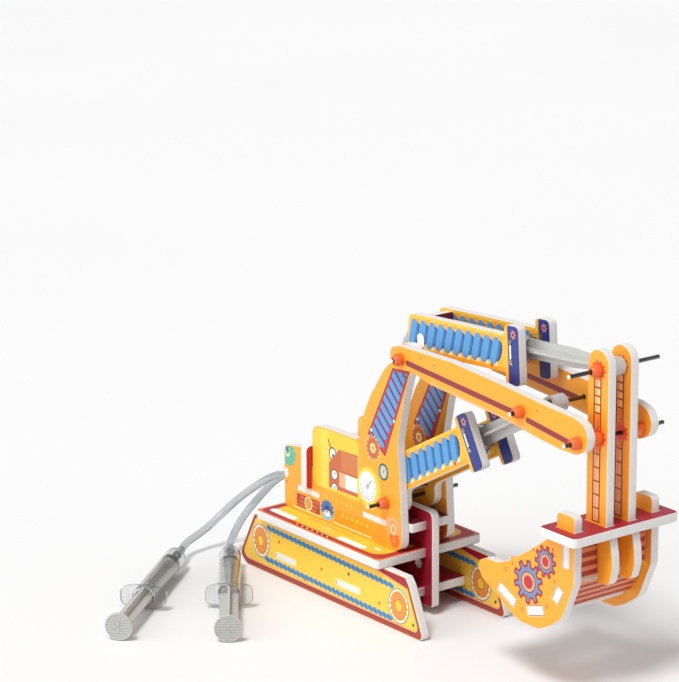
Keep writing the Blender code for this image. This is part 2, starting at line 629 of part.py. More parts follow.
# Cylinders
def cylinder(name, parent, pivot, target, parent_pivot, paint):
    """A housing and its syringe, on a hinge at the pivot, with the plunger's lug at the target."""
    run, rise = target[0] - pivot[0], target[1] - pivot[1]
    tilt = math.atan2(rise, run) - math.asin(SYRINGE_W / math.hypot(run, rise))
    place = (pivot[0] - parent_pivot[0], 0, pivot[1] - parent_pivot[1])
    frame = empty(f"{name}_cylinder_pivot", parent, place, Matrix.Rotation(-tilt, 4, "Y"))
    leg = 7.4
    head_rear, head_front, head_low, head_high = 72.6, 83.4, -3.6, 27.3
    outline = rounded([
        (-leg, -leg, leg * 0.98), (leg, -leg, leg * 0.98), (leg + 4.0, 2.3, 5), (head_rear, 2.3, 1),
        (head_rear, head_low, 2), (head_front, head_low, 2), (head_front, head_high, 2),
        (head_rear, head_high, 2), (head_rear, 22.0, 1), (-5.0, 22.4, 4), (-leg, 4.0, 8),
    ])
    tab_low, tab_high = 5.0, 12.4
    finger_front = FLANGE_U - FINGER_SET_BACK
    half_finger = 6.2  # of the flange where it crosses the boards
    holes = [
        circle((0, 0), ROD_HOLE_R),
        rectangle((REAR_PLATE_U - GAP, tab_low - GAP), (REAR_PLATE_U + BOARD + GAP, tab_high + GAP)),
        rectangle(
            (finger_front - FINGER_THICK - GAP, SYRINGE_W - half_finger - GAP),
            (finger_front + GAP, SYRINGE_W + half_finger + GAP),
        ),
    ]
    side_boards(f"{name}_cylinder_side", outline, holes, HOUSING_OUT, paint["orange_board"], frame)
    low, high = 3.0, 21.4
    middle = (low + high) / 2
    half = (high - low) / 2
    tab_half, tab_shift = (tab_high - tab_low) / 2, (tab_high + tab_low) / 2 - middle
    plate = tabbed(half, HOUSING_OUT - BOARD - GAP, tab_half, HOUSING_OUT, tab_shift, 1)
    hole = circle((SYRINGE_W - middle, 0), NOZZLE_R + 0.5)
    centre = (REAR_PLATE_U + BOARD / 2, middle)
    cross_board(f"{name}_cylinder_plate", plate, [hole], centre, math.pi / 2, paint["crimson_board"], frame)
    syringe = Matrix.Translation((FLANGE_U, 0, SYRINGE_W))
    barrel(f"{name}_slave_barrel", paint["clear_plastic"], frame, syringe)
    on_axis = Matrix.Translation((0, 0, SYRINGE_W))
    slider = empty(f"{name}_slave_slide", frame, (0, 0, SYRINGE_W))
    slave_plunger(f"{name}_slave_plunger", paint["clear_plastic"], slider, Matrix.Identity(4))
    seal(f"{name}_slave_seal", SEAL_U, paint["dark_rubber"], slider, Matrix.Identity(4))


def master(name, root, paint):
    (x, y), heading, shown = MASTERS[name]
    turn = Matrix.Rotation(math.radians(heading + 180), 4, "Z")
    frame = empty(f"{name}_master", root, (x, y, THUMB_R), turn)
    barrel(f"{name}_master_barrel", paint["clear_plastic"], frame, Matrix.Identity(4))
    slider = empty(f"{name}_master_slide", frame)
    master_plunger(f"{name}_master_plunger", shown, paint["clear_plastic"], slider, Matrix.Identity(4))
    seal(f"{name}_master_seal", shown - MASTER_PLUNGER, paint["dark_rubber"], slider, Matrix.Identity(4))


def centre_on_table(root):
    """Moves the root so that the origin is under the middle of the object's box, tubes left out."""
    bpy.context.view_layer.update()
    graph = bpy.context.evaluated_depsgraph_get()
    low, high = np.full(3, np.inf), np.full(3, -np.inf)
    for obj in bpy.context.scene.objects:
        if obj.type != "MESH" or obj.hide_render:
            continue
        mesh = obj.evaluated_get(graph).to_mesh()
        points = np.array([obj.matrix_world @ vertex.co for vertex in mesh.vertices])
        low, high = np.minimum(low, points.min(axis=0)), np.maximum(high, points.max(axis=0))
    middle = (low + high) / 2
    root.location = (-middle[0], -middle[1], -low[2])


def main():
    clear_scene()
    paint = make_materials()
    root = empty("kit", None, (0, 0, 0), Matrix.Scale(MM, 4))
    chassis(paint, root)
    boom_frame = boom(paint, root)
    stick_and_bucket(paint, root, boom_frame)
    cylinder("lower", root, P_BODY, P_BOOM, (0, 0), paint)
    cylinder("upper", boom_frame, P_TOWER, P_STICK, P_TOWER, paint)
    master("upper", root, paint)
    master("lower", root, paint)
    tube("upper_tube", UPPER_TUBE, paint["clear_tube"], root)
    tube("lower_tube", LOWER_TUBE, paint["clear_tube"], root)
    centre_on_table(root)


main()
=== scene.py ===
"""The looks of a foam-board excavator kit worked by syringes: printed boards, clear syringes and tubes.

Drawing places are in millimetres, with X forwards, Y to the far side and Z up, and place() turns one into the
frame. Each printed board is its CAD panel with rolled edges, and its print is a thin layer of ink.
"""
import math

import bmesh
import bpy
from mathutils import Matrix, Vector
from mathutils.geometry import interpolate_bezier, tessellate_polygon


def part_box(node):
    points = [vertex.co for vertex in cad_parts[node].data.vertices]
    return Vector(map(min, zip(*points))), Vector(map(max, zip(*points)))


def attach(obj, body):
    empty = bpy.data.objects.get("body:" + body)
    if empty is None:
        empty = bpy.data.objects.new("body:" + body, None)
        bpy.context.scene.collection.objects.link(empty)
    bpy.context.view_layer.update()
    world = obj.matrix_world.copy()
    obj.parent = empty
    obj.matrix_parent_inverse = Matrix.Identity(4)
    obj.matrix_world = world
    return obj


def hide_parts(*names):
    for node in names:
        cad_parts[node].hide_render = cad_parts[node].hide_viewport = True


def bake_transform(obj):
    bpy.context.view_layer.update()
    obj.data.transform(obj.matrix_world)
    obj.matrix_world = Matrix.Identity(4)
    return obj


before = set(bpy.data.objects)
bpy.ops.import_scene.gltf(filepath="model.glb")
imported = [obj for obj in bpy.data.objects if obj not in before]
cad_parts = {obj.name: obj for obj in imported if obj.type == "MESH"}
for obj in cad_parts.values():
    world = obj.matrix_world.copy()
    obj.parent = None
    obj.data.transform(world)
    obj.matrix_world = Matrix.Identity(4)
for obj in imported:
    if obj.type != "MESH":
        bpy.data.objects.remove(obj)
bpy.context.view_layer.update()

MM = 0.001
BOARD = 5.0  # thickness
DECK_TOP = 37.7
# From the middle plane to the outer face of each pair of side boards
TRACK_OUT, BODY_OUT, BOOM_OUT, HOUSING_OUT, STICK_OUT, BUCKET_OUT = 31.1, 18.4, 23.7, 12.9, 10.0, 28.5
# The rods' centres, as (x, z)
P_BODY, P_TOWER, P_BOOM = (4.4, 62.9), (23.9, 148.5), (120.7, 142.7)
P_BOOM_END, P_STICK = (164.0, 136.9), (163.0, 171.5)
SYRINGE_W = 13.5  # from a cylinder's pivot to the middle of its syringe

# The drawing's origin in the frame: the body rod gives X, and the two tracks give Y
rod_low, rod_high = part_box("body_rod")
SHIFT = Vector((
    (rod_low.x + rod_high.x) / 2 - P_BODY[0] * MM,
    (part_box("track_near")[0].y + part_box("track_far")[1].y) / 2,
    0,
))
DRAWING = Matrix.Translation(SHIFT) @ Matrix.Scale(MM, 4)


def place(x, y, z):
    return DRAWING @ Vector((x, y, z))


def turned_frame(centre, turn):
    """A frame on the middle plane at this (x, z), its X turned up by this angle in radians."""
    return Matrix.Translation((centre[0], 0, centre[1])) @ Matrix.Rotation(-turn, 4, "Y")


def cylinder_frame(pivot, target):
    """The frame at a cylinder's pivot, its X along the syringe, whose lug then meets the target."""
    run, rise = target[0] - pivot[0], target[1] - pivot[1]
    return turned_frame(pivot, math.atan2(rise, run) - math.asin(SYRINGE_W / math.hypot(run, rise)))


LOWER = cylinder_frame(P_BODY, P_BOOM)
UPPER = cylinder_frame(P_TOWER, P_STICK)


# Materials
def srgb(code):
    """A linear colour from a code such as FFB54A."""
    parts = [int(code[i:i + 2], 16) / 255 for i in (0, 2, 4)]
    return [c / 12.92 if c <= 0.04045 else ((c + 0.055) / 1.055) ** 2.4 for c in parts] + [1.0]


class Paint:
    """A Principled material with the few nodes that the recipes below share."""

    def __init__(self, name, rough):
        self.material = bpy.data.materials.new(name)
        self.material.use_nodes = True
        self.nodes = self.material.node_tree.nodes
        self.links = self.material.node_tree.links
        self.shader = self.nodes["Principled BSDF"]
        self.shader.inputs["Roughness"].default_value = rough
        self.coords = self.nodes.new("ShaderNodeTexCoord").outputs["Object"]

    def noise(self, scale, detail=2.0):
        node = self.nodes.new("ShaderNodeTexNoise")
        node.inputs["Scale"].default_value = scale
        node.inputs["Detail"].default_value = detail
        self.links.new(self.coords, node.inputs["Vector"])
        return node.outputs["Fac"]

    def cells(self, scale):
        node = self.nodes.new("ShaderNodeTexVoronoi")
        node.inputs["Scale"].default_value = scale
        self.links.new(self.coords, node.inputs["Vector"])
        return node.outputs["Distance"]

    def between(self, factor, first, second):
        """A colour that runs from first to second as factor goes from 0 to 1."""
        node = self.nodes.new("ShaderNodeMix")
        node.data_type = "RGBA"
        node.inputs["A"].default_value = first
        node.inputs["B"].default_value = second
        self.links.new(factor, node.inputs["Factor"])
        return node.outputs["Result"]

    def spread(self, factor, low, high):
        """A number that runs from low to high over the usual range of a noise."""
        node = self.nodes.new("ShaderNodeMapRange")
        node.inputs["From Min"].default_value = 0.3
        node.inputs["From Max"].default_value = 0.7
        node.inputs["To Min"].default_value = low
        node.inputs["To Max"].default_value = high
        self.links.new(factor, node.inputs["Value"])
        return node.outputs["Result"]

    def colour(self, output):
        self.links.new(output, self.shader.inputs["Base Color"])

    def rough(self, output):
        self.links.new(output, self.shader.inputs["Roughness"])

    def bump(self, height, depth):
        node = self.nodes.new("ShaderNodeBump")
        node.inputs["Distance"].default_value = depth
        node.inputs["Strength"].default_value = 1.0
        self.links.new(height, node.inputs["Height"])
        self.links.new(node.outputs["Normal"], self.shader.inputs["Normal"])


def shaded(colour, by):
    return [min(1.0, c * by) for c in colour[:3]] + [1.0]


INK_ROUGH = 0.36


def ink(name, code):
    """Ink under a satin film on foam board: a faint mottle, uneven gloss and the soft dimples of the foam."""
    paint = Paint(f"ink_{name}", INK_ROUGH)
    base = srgb(code)
    paint.colour(paint.between(paint.noise(260), shaded(base, 0.93), shaded(base, 1.05)))
    paint.rough(paint.spread(paint.noise(900), INK_ROUGH - 0.06, INK_ROUGH + 0.08))
    paint.bump(paint.noise(520, 1.0), 0.00004)
    return paint.material


INKS = {
    name: ink(name, code)
    for name, code in {
        "orange": "FFA92A", "amber": "FFA828", "deep_amber": "FF9A14", "yellow": "FFCB3C", "lemon": "FFD84E",
        "sand": "FFCC46", "gold": "FCBB34", "deep_orange": "F0822C", "brown": "C8683C", "tan": "D07C48",
        "rust": "8E3034", "crimson": "A81C36", "red": "C42C34", "rose": "C03448", "brick": "A83830",
        "maroon": "6E1024", "scarlet": "EE5226", "white": "FFFEFA", "cream": "FCE2A0", "peach": "F8B888",
        "pink": "F49A66", "tangerine": "EC9244", "salmon": "E68A5C", "blue": "569CD2", "azure": "2F76B6",
        "sky": "8AC4E4", "chain": "4690C0", "periwinkle": "6C90B6", "navy": "2C3A86", "teal": "5CB8A0",
        "mist": "C4CDB4", "green": "3A4E44", "black": "262220", "ochre": "E0A038", "steel": "7C9CB4",
    }.items()
}


def foam():
    """The cut edge of the foam board: white, matt and finely cellular."""
    paint = Paint("foam_edge", 0.7)
    paint.colour(paint.between(paint.noise(700), srgb("DFDCD8"), srgb("F1EFEC")))
    paint.bump(paint.cells(2600), 0.00006)
    return paint.material


FOAM = foam()


def moulded(name, code, rough, coat=0.0):
    """Injection-moulded plastic: an even colour with a faint flow and a fine skin."""
    paint = Paint(name, rough)
    base = srgb(code)
    paint.colour(paint.between(paint.noise(380), shaded(base, 0.92), shaded(base, 1.06)))
    paint.rough(paint.spread(paint.noise(1500), rough - 0.05, rough + 0.07))
    paint.shader.inputs["Coat Weight"].default_value = coat
    paint.bump(paint.noise(2400, 1.0), 0.00001)
    return paint.material


def see_through(name, code, rough, clear, ior):
    """Clear or milky plastic, with a faint unevenness in its tint and its polish."""
    paint = Paint(name, rough)
    base = srgb(code)
    paint.colour(paint.between(paint.noise(160), shaded(base, 0.9), base))
    paint.shader.inputs["Transmission Weight"].default_value = clear
    paint.shader.inputs["IOR"].default_value = ior
    paint.rough(paint.spread(paint.noise(420), rough - 0.03, rough + 0.05))
    return paint.material


CAP_PLASTIC = moulded("cap_orange", "EE6B30", 0.42, 0.15)
ROD = moulded("rod_black", "1B1B1D", 0.2, 0.4)
# A painted highlight: the pale near end of each rod stands in for the light on its tip
ROD_TIP_HIGHLIGHT = moulded("rod_tip_painted_highlight", "EDE7DC", 0.4)
RUBBER = moulded("seal_rubber", "2C2C30", 0.5)
BARREL_PLASTIC = see_through("barrel_clear", "F6F7F7", 0.04, 1.0, 1.3)
PLUNGER_PLASTIC = see_through("plunger_milky", "C6C6C2", 0.3, 0.0, 1.45)
# A painted highlight: the finger flanges are clear plastic throughout, and this opaque near-white on their
# tips stands in for the light on them
TIP_HIGHLIGHT = moulded("flange_tip_painted_highlight", "F6F6F4", 0.5)
HOSE = see_through("hose_clear", "D6DADD", 0.1, 0.75, 1.3)


# Boards
EDGE_WIDTH = 0.55  # of the rolled rim


def board(node, body, face):
    """The CAD panel with rolled edges: print on its two faces and foam round its rim."""
    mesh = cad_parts[node].data.copy()
    mesh.materials.clear()
    mesh.materials.append(INKS[face])
    mesh.materials.append(FOAM)
    shape = bmesh.new()
    shape.from_mesh(mesh)
    bmesh.ops.remove_doubles(shape, verts=shape.verts, dist=1e-6)
    bmesh.ops.dissolve_limit(shape, angle_limit=math.radians(0.5), verts=shape.verts, edges=shape.edges)
    shape.normal_update()
    axis = max(shape.faces, key=lambda each: each.calc_area()).normal.copy()
    rims = []
    for edge in shape.edges:
        on_print = [abs(each.normal.dot(axis)) > 0.9 for each in edge.link_faces]
        if len(on_print) == 2 and sum(on_print) == 1:
            rims.append(edge)
    bmesh.ops.bevel(
        shape, geom=rims, offset=EDGE_WIDTH * MM, segments=3, profile=0.6, affect="EDGES", clamp_overlap=True,
    )
    for each in shape.faces:
        flat = abs(each.normal.dot(axis)) > 0.75
        each.material_index = 0 if flat else 1
        each.smooth = True
    bmesh.ops.triangulate(shape, faces=[each for each in shape.faces if len(each.verts) > 4])
    shape.to_mesh(mesh)
    shape.free()
    mesh.set_sharp_from_angle(angle=math.radians(35))
    piece = bpy.data.objects.new(f"{node}_board", mesh)
    bpy.context.scene.collection.objects.link(piece)
    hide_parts(node)
    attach(piece, body)
    return piece


def sided(name):
    return [f"{name}_near", f"{name}_far"]


BOARDS = {  # node: (body, ink of its faces)
    **{node: ("chassis", "yellow") for node in sided("track")},
    **{node: ("chassis", "orange") for node in sided("body_side")},
    "lower_plate": ("chassis", "crimson"), "deck": ("chassis", "brick"), "upper_plate": ("chassis", "maroon"),
    "keel": ("chassis", "crimson"), "rear_cross_plate": ("chassis", "red"),
    **{node: ("boom", "orange") for node in sided("boom")},
    **{node: ("stick", "orange") for node in sided("stick") + sided("bucket_side")},
    "bucket_top_plate": ("stick", "crimson"), "bucket_front_plate": ("stick", "salmon"),
    "bucket_lower_plate": ("stick", "salmon"), "bucket_bottom_plate": ("stick", "salmon"),
    "bucket_rear_plate": ("stick", "gold"),
    **{node: ("lower_cylinder", "gold") for node in sided("lower_cylinder_side")},
    **{node: ("upper_cylinder", "gold") for node in sided("upper_cylinder_side")},
    "lower_cylinder_plate": ("lower_cylinder", "maroon"),
    "upper_cylinder_plate": ("upper_cylinder", "maroon"),
}
for node, (body, face) in BOARDS.items():
    board(node, body, face)


# Prints: shapes in a board's own (a, b) millimetres, in thin layers of ink that stand a little above its face
LAYER = 0.03  # the first fill's height over the face
HAIR = 0.001  # what each later fill adds
SUNK = 0.05  # the depth of every fill under the face


def rounded(corners, step=22.5):
    """The outline with each corner that has a radius turned into an arc that touches both of its sides."""
    points = []
    for i, corner in enumerate(corners):
        here = Vector(corner[:2])
        radius = corner[2] if len(corner) > 2 else 0
        before = (Vector(corners[i - 1][:2]) - here).normalized()
        after = (Vector(corners[(i + 1) % len(corners)][:2]) - here).normalized()
        half = before.angle(after) / 2
        if radius == 0 or half > math.radians(88):
            points.append(tuple(here))
            continue
        centre = here + (before + after).normalized() * radius / math.sin(half)
        first = here + before * radius / math.tan(half) - centre
        last = here + after * radius / math.tan(half) - centre
        start = math.atan2(first.y, first.x)
        turn = (math.atan2(last.y, last.x) - start + math.pi) % (2 * math.pi) - math.pi
        count = max(2, round(abs(turn) / math.radians(step)))
        for k in range(count + 1):
            t = start + turn * k / count
            points.append((centre.x + radius * math.cos(t), centre.y + radius * math.sin(t)))
    return points


def inset(points, distance):
    """The outline moved inwards by this distance."""
    area = sum(a[0] * b[1] - b[0] * a[1] for a, b in zip(points, points[1:] + points[:1]))
    side = 1 if area > 0 else -1
    made = []
    for i, point in enumerate(points):
        here = Vector(point[:2])
        before = (here - Vector(points[i - 1][:2])).normalized()
        after = (Vector(points[(i + 1) % len(points)][:2]) - here).normalized()
        first, second = Vector((-before.y, before.x)) * side, Vector((-after.y, after.x)) * side
        both = first + second
        if both.length < 1e-6:
            continue
        mitre = both.normalized()
        made.append(tuple(here + mitre * distance / max(0.4, mitre.dot(first))))
    return made


def oval(centre, half_a, half_b, sides=28, turn=0.0):
    cosine, sine = math.cos(turn), math.sin(turn)
    points = []
    for k in range(sides):
        t = 2 * math.pi * k / sides
        a, b = half_a * math.cos(t), half_b * math.sin(t)
        points.append((centre[0] + a * cosine - b * sine, centre[1] + a * sine + b * cosine))
    return points


def box(low, high, radius=0):
    corners = ((low[0], low[1]), (high[0], low[1]), (high[0], high[1]), (low[0], high[1]))
    return rounded([(a, b, radius) for a, b in corners])


def bar(first, last, width):
    """A straight stroke with round ends between two points."""
    start, end = Vector(first), Vector(last)
    along = (end - start).normalized()
    heading = math.atan2(along.y, along.x)
    points = []
    for centre, begin in ((end, heading - math.pi / 2), (start, heading + math.pi / 2)):
        for k in range(9):
            t = begin + math.pi * k / 8
            points.append((centre.x + width / 2 * math.cos(t), centre.y + width / 2 * math.sin(t)))
    return points


def cog(centre, half_a, half_b, teeth, depth, share=0.5, turn=0.0):
    """A toothed wheel of these outer radii: share is how much of the pitch a tooth takes."""
    flank = share * 1.2
    corners = [(-0.5 * flank, 0.0), (-0.32 * flank, 1.0), (0.0, 1.0), (0.32 * flank, 1.0), (0.5 * flank, 0.0)]
    points = []
    for k in range(teeth):
        for offset, reach in (*corners, (0.5, 0.0)):
            t = turn + 2 * math.pi * (k + offset) / teeth
            size = 1 - depth * (1 - reach)
            points.append((centre[0] + half_a * size * math.cos(t), centre[1] + half_b * size * math.sin(t)))
    return points


class Print:
    """The artwork of one board, painted in order: each fill lies a hair above the one before it."""

    def __init__(self):
        self.fills = []

    def fill(self, colour, outline, *holes):
        self.fills.append((colour, [list(outline), *[list(hole) for hole in holes]]))

    def ring(self, colour, outline, width):
        self.fill(colour, outline, inset(outline, width))

    def dots(self, colour, size, *centres):
        for centre in centres:
            self.fill(colour, oval(centre, size, size * 1.15, 10))

    def press(self, name, body, slot, *faces):
        """Makes the print one piece. Each face is a matrix from (a, b, height) to the frame."""
        shape = bmesh.new()
        colours = sorted({colour for colour, _ in self.fills})
        for face in faces:
            for order, (colour, loops) in enumerate(self.fills):
                slab(shape, face, loops, -SUNK, LAYER + order * HAIR, colours.index(colour))
        return finish_piece(name, shape, [INKS[colour] for colour in colours], body)


def finish_piece(name, shape, materials, body, smooth_angle=0, replaces=()):
    """Turns a bmesh into a piece that rides on a body."""
    bmesh.ops.recalc_face_normals(shape, faces=shape.faces)
    mesh = bpy.data.meshes.new(name)
    shape.to_mesh(mesh)
    shape.free()
    for material in materials:
        mesh.materials.append(material)
    if smooth_angle:
        mesh.shade_smooth()
        mesh.set_sharp_from_angle(angle=math.radians(smooth_angle))
    piece = bpy.data.objects.new(name, mesh)
    bpy.context.scene.collection.objects.link(piece)
    if replaces:
        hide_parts(*replaces)
    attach(piece, body)
    return piece


def slab(shape, face, loops, low, high, material=0):
    """A flat closed solid between two heights: the first loop is its outline and the others are holes."""
    clean = [
        [p for p, q in zip(loop, loop[1:] + loop[:1]) if (Vector(p[:2]) - Vector(q[:2])).length > 0.01]
        for loop in loops
    ]
    triangles = tessellate_polygon([[Vector((p[0], p[1], 0)) for p in loop] for loop in clean])
    flat = [p for loop in clean for p in loop]
    lower = [shape.verts.new(face @ Vector((p[0], p[1], low))) for p in flat]
    upper = [shape.verts.new(face @ Vector((p[0], p[1], high))) for p in flat]
    made = []
    for a, b, c in triangles:
        for verts in ((upper[a], upper[b], upper[c]), (lower[a], lower[c], lower[b])):
            made.append(shape.faces.new(verts))
    start = 0
    for loop in clean:
        count = len(loop)
        for k in range(count):
            i, j = start + k, start + (k + 1) % count
            made.append(shape.faces.new((lower[i], lower[j], upper[j], upper[i])))
        start += count
    for each in made:
        each.material_index = material


X, Y, Z = Vector((1, 0, 0)), Vector((0, 1, 0)), Vector((0, 0, 1))
HERE = Matrix.Identity(4)


def axes(base, origin, a, b, out):
    """The matrix from (a, b, height) on a face, in millimetres, to the frame."""
    columns = Matrix((a, b, out)).transposed().to_4x4()
    return DRAWING @ base @ Matrix.Translation(origin) @ columns


def press_sides(art, name, body, slot, outer, base=HERE):
    """Prints a pair of side boards on both of their faces, as the far one's inner face shows in the gaps."""
    for side, sign in (("near", -1), ("far", 1)):
        faces = [
            axes(base, (0, sign * outer, 0), X, Z, Y * sign),
            axes(base, (0, sign * (outer - BOARD), 0), X, Z, -Y * sign),
        ]
        art.press(f"{name}_{side}_print", body, slot, *faces)


def clipped(points, window):
    """The part of a convex outline inside a convex window that runs anticlockwise."""
    made = list(points)
    for first, last in zip(window, window[1:] + window[:1]):
        edge = Vector(last) - Vector(first)
        inside = [edge.cross(Vector(p) - Vector(first)) >= 0 for p in made]
        kept = []
        for i, point in enumerate(made):
            before = Vector(made[i - 1])
            step = Vector(point) - before
            if inside[i] != inside[i - 1]:
                share = edge.cross(Vector(first) - before) / edge.cross(step)
                kept.append(tuple(before + step * share))
            if inside[i]:
                kept.append(tuple(point))
        made = kept
    return made


def wheel(art, centre, half_a, half_b):
    """The track's sprocket: white dashes round a brown-edged orange cog with a yellow hub."""
    art.ring("steel", oval(centre, half_a, half_b, 32), 0.45)
    for k in range(16):
        t = 2 * math.pi * (k + 0.5) / 16
        spot = (centre[0] + (half_a - 1.3) * math.cos(t), centre[1] + (half_b - 1.3) * math.sin(t))
        art.fill("white", oval(spot, 1.1, 0.6, 10, math.atan2(math.cos(t) * half_b, -math.sin(t) * half_a)))
    art.fill("brown", cog(centre, half_a - 2.0, half_b - 2.0, 18, 0.1))
    art.fill("tangerine", oval(centre, half_a - 2.7, half_b - 2.7))
    hub = oval(centre, half_a * 0.42, half_b * 0.42, 5, math.radians(20))
    art.fill("brown", hub)
    art.fill("yellow", inset(hub, 0.5))


def chain(art, first, last):
    """A rope-like chain: leaning links that overlap, each with a pale spot above it."""
    width, pitch = 3.3, 4.1
    start, end = Vector(first), Vector(last)
    along = (end - start).normalized()
    across = Vector((-along.y, along.x))
    count = round((end - start).length / pitch)
    heading = math.atan2(along.y, along.x)
    middles = [start + along * (k + 0.5) * (end - start).length / count for k in range(count)]
    art.fill("chain", bar(first, last, width * 0.6))
    for middle in middles:
        art.fill("chain", oval(middle, pitch * 0.56, width * 0.46, 12, heading - 0.6))
    for middle in middles:
        art.fill("azure", oval(middle - along * pitch * 0.05, pitch * 0.3, width * 0.17, 10, heading - 0.5))
        art.fill("peach", oval(middle + along * pitch * 0.4 + across * width * 0.34, 0.42, 0.3, 8))


TRACK = [
    (-106.0, 0, 3), (52.9, 0, 3), (40.4, 28.5, 4), (37.2, 32.4, 1), (-98.9, 32.4, 3), (-113.5, 4.5, 4),
]
TRACK_PANEL = [
    (-104.6, 3.4, 5), (49.4, 3.4, 3), (39.2, 26.6, 2), (13.0, 30.2), (-97.2, 30.9, 4), (-111.2, 5.4, 4),
]
TRACK_SLOTS = [box((-79.3, 11.3), (-60.3, 14.5), 1.0), box((-23.2, 11.3), (-2.4, 14.5), 1.0)]


def track_print():
    art = Print()
    panel = rounded(TRACK_PANEL)
    art.fill("brick", inset(rounded(TRACK), 0.5), *TRACK_SLOTS)
    art.fill("maroon", inset(panel, -0.6), *TRACK_SLOTS)
    art.fill("crimson", rounded([
        (8.5, 31.8), (9.5, 31.0), (38.4, 28.0), (39.6, 27.2), (39.4, 28.8, 3), (36.8, 31.8, 1),
    ]))
    art.fill("pink", panel, *TRACK_SLOTS)
    art.fill("sand", inset(panel, 0.9), *TRACK_SLOTS)
    for slot in TRACK_SLOTS:
        art.fill("cream", inset(slot, -0.7), slot)
    chain(art, (-86.5, 27.0), (26.5, 24.4))
    chain(art, (-88.5, 8.2), (25.5, 5.9))
    wheel(art, (-92.8, 17.6), 8.2, 9.9)
    wheel(art, (31.6, 14.6), 8.8, 10.0)
    art.dots("brown", 0.75, (-75.5, 21.4), (-52.0, 5.9), (-36.5, 16.4), (15.0, 11.6))
    art.dots("green", 0.8, (-12.0, 20.4), (44.0, 7.4))
    press_sides(art, "track", "chassis", "yellow_board", TRACK_OUT)


BODY_SLOTS = [box((low + 0.1, 49.6), (high - 0.1, 52.8), 1.4) for low, high in ((-75.8, -54.5), (-16.7, 5.2))]
WINDOW = [(10.8, 139.4), (-10.4, 98.4), (3.7, 89.6), (24.0, 140.2)]


def dial(art, centre, half_a, half_b, face, rim, ticks):
    """A gauge with dots at these angles in degrees, and a needle that starts at a small ring."""
    art.fill(rim, oval(centre, half_a, half_b, 36))
    art.fill(face, oval(centre, half_a * 0.84, half_b * 0.84, 36))
    for angle in ticks:
        t = math.radians(angle)
        spot = (centre[0] + half_a * 0.68 * math.cos(t), centre[1] + half_b * 0.68 * math.sin(t))
        art.fill("black", oval(spot, half_a * 0.045, half_b * 0.045, 8))
    tip = (centre[0] + half_a * 0.38, centre[1] + half_b * 0.42)
    art.fill("black", bar(centre, tip, half_a * 0.055))
    art.fill("black", oval(centre, half_a * 0.11, half_b * 0.12, 12))
    art.fill(face, oval(centre, half_a * 0.05, half_b * 0.06, 8))


def cab_print(art):
    art.fill("yellow", rounded([
        (-60.3, 57.2, 3), (-18.4, 57.2), (-19.3, 91.6, 3), (-41.4, 91.5), (-60.3, 90.7, 6),
    ]))
    art.fill("lemon", box((-53.0, 57.2), (-46.2, 90.6)))
    art.fill("green", oval((-42.5, 78.6), 3.3, 4.1))
    art.fill("white", oval((-42.5, 78.6), 2.5, 3.2))
    art.fill("green", bar((-46.4, 86.2), (-44.5, 82.4), 0.9))
    art.fill("green", oval((-42.0, 77.6), 1.0, 1.5, 10))
    art.fill("brown", rounded([
        (-46.0, 58.9), (-20.0, 59.4), (-20.0, 83.2), (-37.0, 82.6, 1), (-46.0, 72.8, 1),
    ]))
    art.fill("tan", box((-34.6, 71.0), (-20.0, 82.4)))
    art.fill("peach", box((-36.6, 61.6), (-31.0, 69.8)))
    art.fill("white", box((-31.0, 61.6), (-20.0, 69.8)))
    window = box((-45.0, 58.9), (-37.0, 72.0))
    for height in (67.2, 59.4):
        for colour, size in (("black", 2.9), ("white", 2.4)):
            art.fill(colour, clipped(oval((-41.0, height), size, size * 1.08), window))
        art.fill("black", bar((-41.2, height - 0.3), (-40.1, height + 1.3), 0.5))


def tower_print(art):
    art.fill("maroon", inset(WINDOW, -0.5))
    art.fill("rose", WINDOW)
    inner = inset(WINDOW, 1.1)
    pitch = Vector((-2.45, -4.95))
    for colour, width, shift in (("navy", 3.5, Vector((0.7, 0.7))), ("blue", 3.4, Vector((0, 0)))):
        for k in range(-2, 9):
            first = Vector((8.9, 138.6)) + pitch * k + shift
            last = Vector((19.1, 128.0)) + pitch * k * 0.98 + shift
            along = (last - first).normalized() * 1.2
            stroke = clipped(bar(first + along, last - along, width), inner)
            if len(stroke) > 2:
                art.fill(colour, stroke)
    art.dots("white", 0.8, (-8.0, 100.9), (11.4, 110.4))
    art.dots("red", 0.7, (14.4, 118.6), (19.6, 131.2), (-3.6, 110.0), (4.8, 126.4))
    centre = (-6.6, 91.0)
    art.fill("cream", cog(centre, 6.4, 7.4, 14, 0.16))
    art.fill("brown", cog(centre, 6.0, 6.9, 14, 0.16))
    art.fill("cream", cog(centre, 2.7, 3.0, 7, 0.2))
    art.fill("ochre", oval(centre, 1.3, 1.5, 14))


CORNER = rounded([(-86.4, 60.0), (-76.0, 60.0), (-76.0, 74.5), (-86.4, 72.8, 3.8)])


